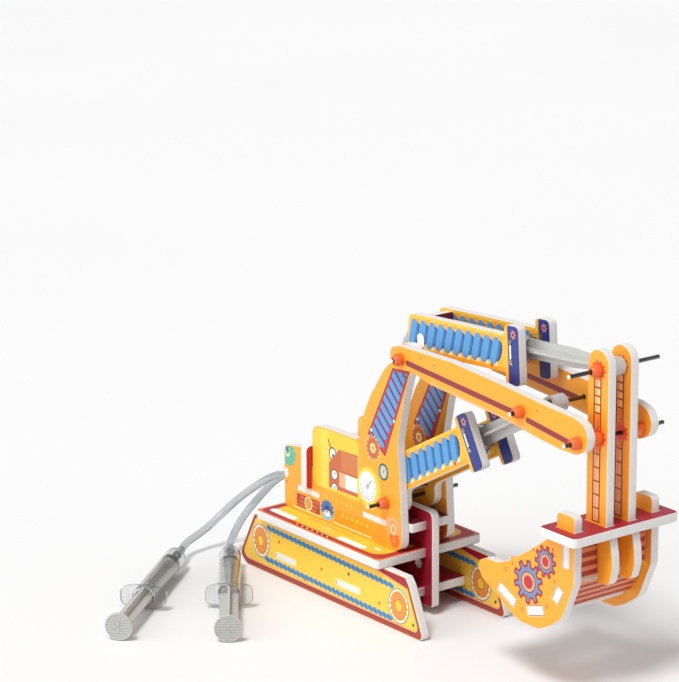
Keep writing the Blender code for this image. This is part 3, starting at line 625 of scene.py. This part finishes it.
def rear_print(art):
    """Teal cog with its eye, a white spot, a brown block with its ring, a blue cog and two rows of rivets."""
    art.fill("teal", clipped(oval((-82.6, 68.8), 5.6, 6.6), CORNER))
    for k in range(5):
        t = math.radians(-115 + 32 * k)
        art.fill("teal", oval((-82.6 + 5.4 * math.cos(t), 68.8 + 6.4 * math.sin(t)), 0.9, 0.9, 8))
    art.fill("cream", oval((-83.9, 69.6), 2.1, 2.7))
    art.fill("teal", oval((-84.1, 70.5), 1.6, 2.2))
    art.fill("navy", bar((-84.8, 72.0), (-83.0, 70.0), 1.1))
    art.fill("white", oval((-84.9, 57.4), 1.4, 2.7))
    art.dots("brown", 0.7, (-84.9, 52.3))
    art.dots("ochre", 0.5, (-81.1, 54.0), (-79.0, 65.5))
    art.fill("brick", box((-75.6, 40.1), (-54.6, 47.9)))
    for k in range(3):
        art.fill("brown", box((-75.0 + 1.3 * k, 40.6 + 2.5 * k), (-57.8 + 1.3 * k, 42.2 + 2.5 * k), 0.5))
    art.fill("cream", oval((-64.8, 44.2), 3.5, 4.0))
    art.fill("brown", oval((-64.8, 44.2), 2.5, 2.9))
    art.fill("ochre", oval((-64.8, 44.2), 1.9, 2.3, 16))
    art.fill("azure", cog((-47.6, 45.0), 6.0, 6.0, 13, 0.14))
    art.fill("sky", clipped(oval((-47.6, 45.0), 5.4, 6.6), box((-53.0, 39.2), (-42.0, 43.0))))
    art.fill("navy", oval((-47.8, 44.8), 2.6, 2.8))
    art.fill("white", oval((-47.6, 43.2), 2.6, 1.8))
    art.dots("brown", 0.9, (-47.9, 44.2))
    art.dots("yellow", 0.85, *[(-47.8 + 4.42 * k, 52.7) for k in range(6)])
    art.dots("yellow", 0.95, *[(-33.7 + 4.34 * k, 45.4) for k in range(6)])


def foot_print(art):
    """The glowing splashes at the foot of the tower."""
    art.fill("peach", cog((10.6, 51.0), 6.2, 6.6, 17, 0.3, 0.35, 0.2))
    art.fill("scarlet", cog((12.0, 43.9), 4.7, 5.0, 13, 0.3, 0.35, 0.2))
    art.fill("pink", oval((10.9, 50.2), 3.7, 4.3))
    art.fill("deep_orange", oval((12.0, 43.6), 2.4, 2.4))
    art.fill("cream", oval((11.0, 49.5), 2.5, 3.1))
    art.fill("pink", oval((11.0, 49.5), 1.5, 2.0))


def body_print():
    art = Print()
    shell = rounded([(-86.3, 38.8), (17.2, 38.8, 5), (17.4, 47.0), (17.0, 55.6), (-86.3, 55.6)])
    art.fill("amber", shell, *BODY_SLOTS)
    art.fill("deep_amber", rounded([(-40.6, 39.0), (15.0, 39.0, 4), (4.0, 47.6), (-40.6, 47.6, 1)]))
    cab_print(art)
    art.fill("cream", bar((-79.0, 39.4), (-52.5, 39.4), 0.9))
    art.fill("cream", bar((-42.0, 39.4), (-8.4, 39.4), 0.9))
    art.fill("yellow", bar((-36.0, 57.8), (-24.2, 57.4), 1.2))
    tower_print(art)
    art.fill("yellow", oval((-10.2, 67.2), 10.4, 12.0, 36))
    dial(art, (-11.4, 67.9), 8.7, 10.3, "white", "lemon", (198, 221, 243, 262, 281, 300, 320, 340, 2, 180))
    art.fill("green", oval((2.5, 79.8), 4.1, 4.8))
    dial(art, (2.5, 79.8), 3.3, 4.0, "mist", "steel", (45, 135, 225, 315))
    rear_print(art)
    foot_print(art)
    press_sides(art, "body_side", "chassis", "orange_board", BODY_OUT)


def deck_outline(rear, front, half, corner, gap, lap):
    """The deck's outline, or a line inside it, with the slit in its front edge for the keel."""
    return rounded([
        (rear, -half, corner), (front, -half, corner), (front, -gap), (lap, -gap), (lap, gap), (front, gap),
        (front, half, corner), (rear, half, corner),
    ])


def deck_print():
    art = Print()
    tab_slots = [
        box((low - 0.3, middle - 2.8), (high + 0.3, middle + 2.8))
        for low, high in ((-76.0, -62.0), (3.5, 10.9)) for middle in (-15.9, 15.9)
    ]
    art.fill("deep_orange", deck_outline(-90.1, 19.1, 35.6, 2, 3.3, 2.5), *tab_slots)
    art.fill("crimson", deck_outline(-88.8, 18.0, 34.6, 4, 3.6, 2.2), *tab_slots)
    field = deck_outline(-84.8, 13.6, 31.3, 8, 5.0, 1.0)
    art.fill("amber", field, *tab_slots)
    art.fill("yellow", inset(field, 0.8), *tab_slots)
    for sign in (-1, 1):
        for first, last in ((-85.8, -62.6), (-24.7, -0.7)):
            art.fill("white", bar((first + 2.5, sign * 28.6), (last - 2.5, sign * 28.6), 4.8))
        low, high = sign * 32.1, sign * 33.9
        art.fill("maroon", [(-59.0, low), (-26.0, low), (-24.0, high), (-57.0, high)])
        for k in range(7):
            a = -57.6 + 4.5 * k
            art.fill("pink", [(a, low), (a + 1.9, low), (a + 3.6, high), (a + 1.7, high)])
        art.fill("amber", bar((-60.0, sign * 21.6), (-20.0, sign * 21.6), 1.6))
        art.fill("white", bar((2.0, sign * 24.0), (6.5, sign * 24.0), 1.5))
    art.press("deck_print", "chassis", "crimson_board", axes(HERE, (0, 0, DECK_TOP), X, Y, Z))


def boom_print():
    art = Print()
    for centre in (P_TOWER, P_BOOM, P_BOOM_END):
        art.fill("amber", oval(centre, 5.4, 5.4), oval(centre, 1.6, 1.6, 12))
    for first, last in (((29.5, 147.6), (115.5, 141.1)), ((126.0, 139.5), (158.0, 135.4))):
        art.fill("crimson", bar(first, last, 3.1))
        art.fill("rust", bar(first, last, 2.4))
    art.dots("brown", 0.55, (40.5, 152.8), (51.6, 151.4), (133.0, 146.0))
    art.fill("peach", bar((48.5, 141.6), (128.0, 134.6), 0.6))
    press_sides(art, "boom", "boom", "orange_board", BOOM_OUT)


def stick_print():
    art = Print()
    low, high, rails = 93.0, 167.0, (160.2, 165.0)
    for rail in rails:
        art.fill("rust", bar((rail, low), (rail, high), 0.8))
    cells = [(high - 4.4 * (k + 1), high - 4.4 * k, "cream") for k in range(4)]
    cells += [(low + 35.3, high - 17.6, "deep_orange")]
    cells += [(low + 7.05 * k, low + 7.05 * (k + 1), "peach") for k in range(5)]
    for bottom, top, colour in cells:
        art.fill("rust", bar((rails[0], bottom), (rails[1], bottom), 0.7))
        art.fill(colour, box((rails[0] + 0.8, bottom + 0.8), (rails[1] - 0.8, top - 0.8)))
        art.fill("pink", box((rails[0] + 1.2, bottom + 1.1), (rails[0] + 2.3, top - 1.1)))
    for centre in (P_STICK, P_BOOM_END):
        art.fill("scarlet", cog(centre, 5.2, 5.2, 10, 0.22), oval(centre, 1.6, 1.6, 12))
    press_sides(art, "stick", "stick", "orange_board", STICK_OUT)


def bucket_cog(art, centre, half_a, half_b, teeth, turn):
    edge = cog(centre, half_a, half_b, teeth, 0.24, 0.6, turn)
    art.fill("crimson", edge)
    art.fill("periwinkle", inset(edge, 1.15))
    for share, colour in ((0.48, "crimson"), (0.42, "peach"), (0.32, "brown"), (0.28, "red")):
        art.fill(colour, oval(centre, half_a * share, half_b * share))


def bucket_print():
    art = Print()
    bucket_cog(art, (146.3, 71.0), 8.2, 8.8, 10, 0.1)
    bucket_cog(art, (133.4, 56.6), 11.4, 11.8, 10, 0.3)
    art.dots("brown", 0.7, (137.0, 75.0), (151.8, 79.0), (153.4, 62.6), (121.0, 63.0))
    for centre in ((129.0, 40.6), (147.6, 47.6), (116.0, 58.6)):
        art.ring("brown", oval(centre, 1.2, 1.3, 6), 0.4)
    press_sides(art, "bucket_side", "stick", "orange_board", BUCKET_OUT)


PLATES = {  # centre (x, z), angle and half length of the bucket's plates
    "bucket_front_plate": ((161.8, 75.4), math.radians(90), 10.4),
    "bucket_lower_plate": ((155.8, 55.9), math.radians(62), 9.0),
    "bucket_bottom_plate": ((139.0, 42.8), math.radians(15.3), 9.5),
    "bucket_rear_plate": ((112.1, 47.3), math.radians(-25.3), 16.4),
}


def plate_prints():
    half_width = BUCKET_OUT - BOARD - 1.2
    for name, (centre, angle, half) in PLATES.items():
        art = Print()
        if name == "bucket_front_plate":
            for k in range(4):
                low = -half + 1.2 + 4.9 * k
                for inner, outer in ((-half_width, -half_width + 12.4), (half_width - 12.4, half_width)):
                    art.fill("brick", box((low, inner), (low + 2.7, outer)))
        else:
            first = -half + (6.0 if name == "bucket_rear_plate" else 1.0)
            count = round((half - first) / 4.1)
            for k in range(count):
                low = first + (half - 1.0 - first) * k / count
                art.fill("brick", box((low, -half_width), (low + 2.0, half_width)))
        base = turned_frame(centre, angle)
        faces = [axes(base, (0, 0, side * BOARD / 2), X, Y, Z * side) for side in (-1, 1)]
        art.press(f"{name}_print", "stick", "orange_board", *faces)


def cylinder_print(name, base):
    """Blue springs between amber triangles, and the navy band at the end with the finger flange's slot."""
    art = Print()
    finger_slot = box((75.8, 6.9), (78.0, 20.1), 0.6)
    art.fill("amber", box((10.5, 2.8), (72.0, 4.8)))
    art.fill("yellow", box((-2.0, 20.8), (72.4, 21.6), 0.3))
    for k in range(10):
        top = -0.6 + 7.4 * k
        art.fill("amber", [(top + 1.1, 20.7), (top + 5.4, 20.7), (top + 3.2, 15.6)])
        art.fill("cream", [(top - 2.4, 4.6), (top + 0.9, 4.6), (top - 0.2, 9.6)])
        art.fill("navy", oval((top + 1.6, 12.6), 2.5, 5.8, 16, -0.3))
        art.fill("azure", oval((top + 0.3, 12.4), 2.1, 6.6, 16, -0.3))
        art.fill("azure", bar((top - 3.2, 7.6), (top - 0.2, 17.6), 5.0))
        art.fill("blue", bar((top - 3.4, 7.5), (top - 0.4, 17.7), 4.7))
    art.fill("azure", box((0.8, 4.2), (7.2, 13.2), 2.8))
    art.fill("white", box((1.3, 4.7), (6.7, 12.7), 2.4))
    art.dots("red", 0.8, (61.8, 4.7))
    band = rounded([(75.0, -3.6, 1), (83.4, -3.6, 2.5), (83.4, 27.3, 2.5), (75.0, 27.3, 1)])
    art.fill("navy", band, finger_slot)
    art.fill("salmon", cog((79.4, 22.9), 2.0, 2.4, 7, 0.3))
    art.fill("navy", oval((79.4, 22.9), 0.8, 1.0, 8))
    press_sides(art, f"{name}_cylinder_side", f"{name}_cylinder", "orange_board", HOUSING_OUT, base)


track_print()
body_print()
deck_print()
boom_print()
stick_print()
bucket_print()
plate_prints()
cylinder_print("lower", LOWER)
cylinder_print("upper", UPPER)


# Turned pieces: caps and rods
def lathe(shape, face, profile, sides=40, material=0):
    """A closed profile of (along, radius) points turned about local X. A radius of 0 closes on the axis."""
    rings = []
    for along, radius in profile:
        if radius == 0:
            rings.append([shape.verts.new(face @ Vector((along, 0, 0)))] * sides)
            continue
        turns = [2 * math.pi * i / sides for i in range(sides)]
        rings.append([
            shape.verts.new(face @ Vector((along, radius * math.cos(t), radius * math.sin(t)))) for t in turns
        ])
    hollow = profile[0][1] > 0
    for first, second in zip(rings, rings[1:] + rings[:1] if hollow else rings[1:]):
        for i in range(sides):
            j = (i + 1) % sides
            corners = list(dict.fromkeys([first[i], first[j], second[j], second[i]]))
            if len(corners) > 2:
                shape.faces.new(corners).material_index = material


RODS = {  # pivot, body, ends along Y and the outer face that the caps push against
    "body_rod": (P_BODY, "chassis", -31.0, 31.5, BODY_OUT),
    "tower_rod": (P_TOWER, "chassis", -30.2, 28.4, BOOM_OUT),
    "boom_rod": (P_BOOM, "boom", -31.6, 28.4, BOOM_OUT),
    "boom_end_rod": (P_BOOM_END, "boom", -33.5, 33.5, BOOM_OUT),
    "stick_rod": (P_STICK, "stick", -30.0, 30.4, STICK_OUT),
}
CAP = [  # (along, radius)
    (0, 1.4), (0, 3.3), (0.5, 3.35), (1.7, 3.3), (2.6, 3.15), (3.5, 2.85), (4.3, 2.4), (4.8, 1.95),
    (5.0, 1.6), (5.0, 1.4),
]
CAP_GAP = 0.3  # between a cap and its board


def rods_and_caps():
    for name, (pivot, body, low, high, outer) in RODS.items():
        for side, sign in (("near", -1), ("far", 1)):
            shape = bmesh.new()
            face = axes(HERE, (pivot[0], sign * (outer + CAP_GAP), pivot[1]), Y * sign, Z * sign, X)
            lathe(shape, face, CAP, 28)
            node = f"{name}_cap_{side}"
            finish_piece(f"{node}_dome", shape, [CAP_PLASTIC], body, 40, [node])
        shape = bmesh.new()
        face = axes(HERE, (pivot[0], 0, pivot[1]), Y, Z, X)
        rod = [(low + 0.6, 0), (low + 0.6, 1.1), (high - 0.3, 1.1), (high, 0.9), (high, 0)]
        # The near end of each rod is pale: a painted highlight on its lit tip
        highlight_end = [(low, 0), (low, 0.85), (low + 0.25, 1.1), (low + 0.62, 1.1), (low + 0.62, 0)]
        lathe(shape, face, rod, 24)
        lathe(shape, face, highlight_end, 24, 1)
        finish_piece(f"{name}_pin", shape, [ROD, ROD_TIP_HIGHLIGHT], body, 40, [name])


rods_and_caps()


# Syringes, drawn along local X with the barrel's mouth at 0 and the nozzle at -X
BARREL = [
    (0.0, 5.6), (0.0, 6.1), (-0.3, 6.3), (-1.0, 6.3), (-1.3, 6.2), (-64.2, 6.2), (-66.0, 5.9), (-67.2, 5.1),
    (-67.9, 3.9), (-68.2, 2.6), (-69.0, 2.0), (-78.8, 1.8), (-79.0, 1.6), (-79.0, 1.0), (-67.4, 1.0),
    (-67.0, 3.4), (-66.2, 4.7), (-64.8, 5.4), (-63.6, 5.6),
]
SEAL = [
    (0, 0), (0.4, 1.6), (1.2, 3.8), (1.8, 5.0), (2.2, 5.35), (2.7, 5.35), (3.1, 4.6), (4.6, 4.6), (5.0, 5.35),
    (5.6, 5.35), (5.9, 4.9), (6.3, 4.9), (6.6, 5.35), (7.0, 5.3), (7.0, 0),
]
FLANGE_X = -1.1  # in the middle of the finger flange's thickness
FLANGE_REACH = 13.0  # from the syringe's axis to each tip of its finger flange
STEM_START = 7.4  # from the front of a seal to its stem
SLAVE_MOUTH, SLAVE_SEAL, SLAVE_LUG = 78.0, 60.0, 140.4  # places along a cylinder, from its pivot
MASTER_PLUNGER = 104.0  # from a master's thumb disc to the front of its seal
MASTER_Z = 7.7  # the height of a master's axis
MASTERS = {  # mouth of the barrel (x, y), heading of the nozzle in degrees, length of plunger that shows
    "upper": ((-80.4, -120.0), 129.8, 47.0),
    "lower": ((-53.5, -81.6), 143.9, 51.6),
}


def barrel(name, base, body):
    """The clear barrel with its two finger rests, each with a raised rim, five fine ridges and a tip in
    opaque near-white, which is painted highlight.
    """
    shape = bmesh.new()
    lathe(shape, DRAWING @ base, BARREL, 56)
    plate = axes(base, (FLANGE_X, 0, 0), Y, Z, X)
    outline = rounded([
        (-FLANGE_REACH, -5.0, 4), (-5.3, -6.7, 3), (5.3, -6.7, 3), (FLANGE_REACH, -5.0, 4),
        (FLANGE_REACH, 5.0, 4), (5.3, 6.7, 3), (-5.3, 6.7, 3), (-FLANGE_REACH, 5.0, 4),
    ], 15)
    bore = oval((0, 0), 6.25, 6.25, 40)
    slab(shape, plate, [outline, bore], -0.6, 0.5)
    slab(shape, plate, [outline, inset(outline, 0.5)], 0.48, 0.7)
    for side in (-1, 1):
        for k in range(5):
            along = side * (7.6 + 0.95 * k)
            reach = 5.2 - 0.35 * k
            slab(shape, plate, [bar((along, -reach), (along, reach), 0.4)], 0.48, 0.64)
    # An opaque near-white plate on each tip of the flange: painted highlight
    for side in (-1, 1):
        tip = axes(base, (FLANGE_X, side * FLANGE_REACH, 0), X, Z, Y * side)
        slab(shape, tip, [box((-0.55, -3.6), (0.45, 3.6), 0.3)], -0.4, 0.04, 1)
    finish_piece(f"{name}_clear", shape, [BARREL_PLASTIC, TIP_HIGHLIGHT], body, 35, [name])


def seal(name, base, front, body):
    shape = bmesh.new()
    lathe(shape, DRAWING @ base, [(front + along, radius) for along, radius in SEAL], 48)
    finish_piece(f"{name}_rubber", shape, [RUBBER], body, 35, [name])


def stem(shape, base, start, end, taper):
    """Crossed webs that start at the seal and narrow at their far end, with two guide discs by the seal."""
    half, tip, neck = 5.1, 2.8, end - taper
    outline = [(start, -half), (neck, -half), (end, -tip), (end, tip), (neck, half), (start, half)]
    for a, b, out in ((X, Z, Y), (X, Y, Z)):
        slab(shape, axes(base, (0, 0, 0), a, b, out), [outline], -0.65, 0.65)
    for along in (start, start + 4.5):
        disc = [(0, 0), (0, 5.0), (0.3, 5.25), (0.9, 5.25), (1.2, 5.0), (1.2, 0)]
        lathe(shape, DRAWING @ base, [(along + step, radius) for step, radius in disc], 40)


def slave_plunger(name, base, body):
    """The slave's stem, and its lug with the long hole for the rod."""
    shape = bmesh.new()
    stem(shape, base, SLAVE_SEAL + STEM_START, 137.0, 26)
    hub = SLAVE_LUG
    circle = oval((hub, 0), 4.7, 4.7, 40)
    lug = [(hub - 9.0, -3.8), *circle[30:], *circle[:11], (hub - 9.0, 3.8)]
    slot = box((hub - 2.0, -2.9), (hub + 2.0, 2.9), 1.8)
    side = axes(base, (0, 0, 0), X, Z, Y)
    slab(shape, side, [lug, slot], -4.0, 4.0)
    rim = [lug, inset(lug, 1.0)]
    slab(shape, side, rim, -4.35, -3.95)
    slab(shape, side, rim, 3.95, 4.35)
    finish_piece(f"{name}_stem", shape, [PLUNGER_PLASTIC], body, 35, [name])


def master_plunger(name, base, shown, body):
    """The master's stem, and its thumb disc with ribs and a cross."""
    shape = bmesh.new()
    stem(shape, base, shown - MASTER_PLUNGER + STEM_START, shown - 1.4, 6)
    thumb = [
        (shown - 1.8, 0), (shown - 1.8, 7.2), (shown - 1.5, 7.6), (shown - 0.6, 7.7),
        (shown, 7.4), (shown, 6.9), (shown - 0.35, 6.7), (shown - 0.35, 0),
    ]
    lathe(shape, DRAWING @ base, thumb, 56)
    face = axes(base, (shown, 0, 0), Y, Z, X)
    for k in range(-4, 5):
        height = 1.5 * k
        reach = math.sqrt(6.4 ** 2 - height ** 2)
        slab(shape, face, [bar((-reach, height), (reach, height), 0.6)], -0.4, 0.0)
    for first, last in (((-3.0, 0), (3.0, 0)), ((0, -3.0), (0, 3.0))):
        slab(shape, face, [bar(first, last, 1.0)], -0.4, 0.2)
    finish_piece(f"{name}_stem", shape, [PLUNGER_PLASTIC], body, 35, [name])


def syringes():
    for name, base in (("lower", LOWER), ("upper", UPPER)):
        mouth = base @ Matrix.Translation((SLAVE_MOUTH, 0, SYRINGE_W))
        axis = base @ Matrix.Translation((0, 0, SYRINGE_W))
        barrel(f"{name}_slave_barrel", mouth, f"{name}_cylinder")
        slave_plunger(f"{name}_slave_plunger", axis, f"{name}_plunger")
        seal(f"{name}_slave_seal", axis, SLAVE_SEAL, f"{name}_plunger")
    for name, ((x, y), heading, shown) in MASTERS.items():
        base = Matrix.Translation((x, y, MASTER_Z)) @ Matrix.Rotation(math.radians(heading + 180), 4, "Z")
        barrel(f"{name}_master_barrel", base, "chassis")
        master_plunger(f"{name}_master_plunger", base, shown, f"{name}_master_plunger")
        seal(f"{name}_master_seal", base, shown - MASTER_PLUNGER, f"{name}_master_plunger")
        shape = bmesh.new()
        sleeve = [(-68.4, 2.05), (-68.4, 2.45), (-68.8, 2.6), (-78.6, 2.35), (-79.2, 2.2), (-79.2, 2.05)]
        lathe(shape, DRAWING @ base, sleeve, 32)
        finish_piece(f"{name}_tube_sleeve", shape, [HOSE], "chassis", 40)


syringes()


# Tubes: the CAD tubes' routes, each with one more point, so that it runs up to its slave's nozzle
TUBE_R = 2.2
TUBE_STEP = 2.4 * TUBE_R  # between points of the line, about
TUBES = {
    "upper_tube": [
        (-131.5, -59.0, 7.7), (-135.6, -54.1, 7.9), (-139.0, -47.5, 8.9), (-140.2, -36.0, 12.7),
        (-139.2, -26.0, 19.2), (-136.4, -17.0, 26.8), (-129.4, -8.5, 35.4), (-119.0, -3.6, 43.2),
        (-109.0, -2.6, 46.6), (-98.0, -3.2, 45.6), (-87.0, -3.6, 43.3), (-72.0, -3.8, 42.8),
        (-57.0, -3.8, 43.4), (-46.0, -4.0, 49.0), (-38.5, -4.4, 59.5), (-34.0, -4.4, 72.0),
        (-29.5, -4.0, 86.0), (-24.0, -3.2, 100.5), (-18.0, -2.2, 113.5), (-12.0, -1.3, 125.5),
        (-5.8, -0.5, 138.0), (0.9, 0.0, 151.0), (4.6, 0.0, 155.8), (10.2, 0.0, 159.8), (17.0, 0.0, 161.6),
        (21.7, 0.0, 161.9),
    ],
    "lower_tube": [
        (-117.8, -34.9, 7.7), (-122.6, -31.0, 8.2), (-128.4, -24.0, 11.2), (-132.8, -14.5, 17.6),
        (-132.4, -5.0, 26.0), (-127.4, 2.4, 35.8), (-119.0, 5.0, 42.4), (-108.0, 5.4, 45.2),
        (-97.0, 4.8, 44.6), (-86.0, 4.2, 43.0), (-71.0, 4.0, 42.6), (-56.0, 4.0, 43.2),
        (-44.0, 3.8, 47.0), (-33.0, 3.0, 54.5), (-22.0, 1.4, 62.4), (-13.5, 0.4, 67.9),
        (-6.6, 0.0, 72.2), (-3.3, 0.0, 74.1),
    ],
}


def smooth_line(route):
    """Closely spaced points along the smooth curve through a route."""
    knots = [place(*point) for point in route]
    ends = [knots[0] * 2 - knots[1], *knots, knots[-1] * 2 - knots[-2]]
    line = [knots[0]]
    for before, here, after, beyond in zip(ends, ends[1:], ends[2:], ends[3:]):
        count = max(2, round((after - here).length / (TUBE_STEP * MM)))
        first, second = here + (after - before) / 6, after - (beyond - here) / 6
        line += interpolate_bezier(here, first, second, after, count + 1)[1:]
    return line


def hose(node, route):
    """The tube along its route, as a mesh fixed in the frame."""
    line = smooth_line(route)
    curve = bpy.data.curves.new(f"{node}_line", "CURVE")
    curve.dimensions = "3D"
    curve.bevel_depth = TUBE_R * MM
    curve.bevel_resolution = 6
    curve.use_fill_caps = True
    spline = curve.splines.new("POLY")
    spline.points.add(len(line) - 1)
    for point, position in zip(spline.points, line):
        point.co = (*position, 1)
    guide = bpy.data.objects.new(f"{node}_line", curve)
    bpy.context.scene.collection.objects.link(guide)
    mesh = bpy.data.meshes.new_from_object(guide)
    bpy.data.objects.remove(guide)
    bpy.data.curves.remove(curve)
    for face in mesh.polygons:
        face.use_smooth = True
    mesh.materials.clear()
    mesh.materials.append(HOSE)
    piece = bpy.data.objects.new(f"{node}_hose", mesh)
    bpy.context.scene.collection.objects.link(piece)
    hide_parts(node)
    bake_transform(piece)


for node, route in TUBES.items():
    hose(node, route)


# The spacers keep their CAD shape
for side in ("near", "far"):
    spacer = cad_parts[f"stick_spacer_{side}"]
    spacer.data.materials[0] = CAP_PLASTIC


# Floor, light and camera
FLOOR_SIZE = 40  # in metres, so that its edge lies far off in every view
FLOOR_DROP = 0.0002
ROOM_STRENGTH = 0.45
LIGHTS = {  # the way to the sun, its strength, and how wide it is in degrees
    "key": ((0.2, -0.5, 1.0), 1.95, 18),
    "fill": ((-0.3, -1.0, 0.34), 1.1, 50),
}
CAMERA_PLACE = (1281.04, -1027.27, 608.57)  # a drawing place
CAMERA_YAW, CAMERA_PITCH, CAMERA_ROLL = 52.543, 15.629, -0.304  # in degrees
CAMERA_LENS, CAMERA_SENSOR = 168.06, 36.0


def floor():
    bpy.ops.mesh.primitive_plane_add(size=FLOOR_SIZE, location=(0, 0, -FLOOR_DROP))
    plane = bpy.context.object
    plane.name = "floor"
    paint = Paint("floor_pale", 0.6)
    paint.colour(paint.between(paint.noise(3), srgb("F3F3F3"), srgb("F8F8F8")))
    plane.data.materials.append(paint.material)


def studio():
    """A white room, with a high sun on the camera's side and a broad low one that fills the near side."""
    world = bpy.data.worlds.new("studio")
    bpy.context.scene.world = world
    world.use_nodes = True
    background = world.node_tree.nodes["Background"]
    background.inputs["Color"].default_value = (1.0, 1.0, 1.0, 1.0)
    background.inputs["Strength"].default_value = ROOM_STRENGTH
    for name, (heading, strength, spread) in LIGHTS.items():
        light = bpy.data.lights.new(name, "SUN")
        light.energy = strength
        light.angle = math.radians(spread)
        lamp = bpy.data.objects.new(name, light)
        bpy.context.scene.collection.objects.link(lamp)
        lamp.rotation_euler = Vector(heading).to_track_quat("Z", "Y").to_euler()
    bpy.context.scene.view_settings.view_transform = "Standard"


def camera():
    data = bpy.data.cameras.new("camera")
    data.lens = CAMERA_LENS
    data.sensor_width = CAMERA_SENSOR
    data.clip_start, data.clip_end = 0.05, 50.0
    view = bpy.data.objects.new("camera", data)
    bpy.context.scene.collection.objects.link(view)
    yaw = Matrix.Rotation(math.radians(CAMERA_YAW), 4, "Z")
    tilt = Matrix.Rotation(math.pi / 2 - math.radians(CAMERA_PITCH), 4, "X")
    roll = Matrix.Rotation(math.radians(CAMERA_ROLL), 4, "Z")
    view.matrix_world = Matrix.Translation(place(*CAMERA_PLACE)) @ (yaw @ tilt @ roll)
    bpy.context.scene.camera = view


floor()
studio()
camera()
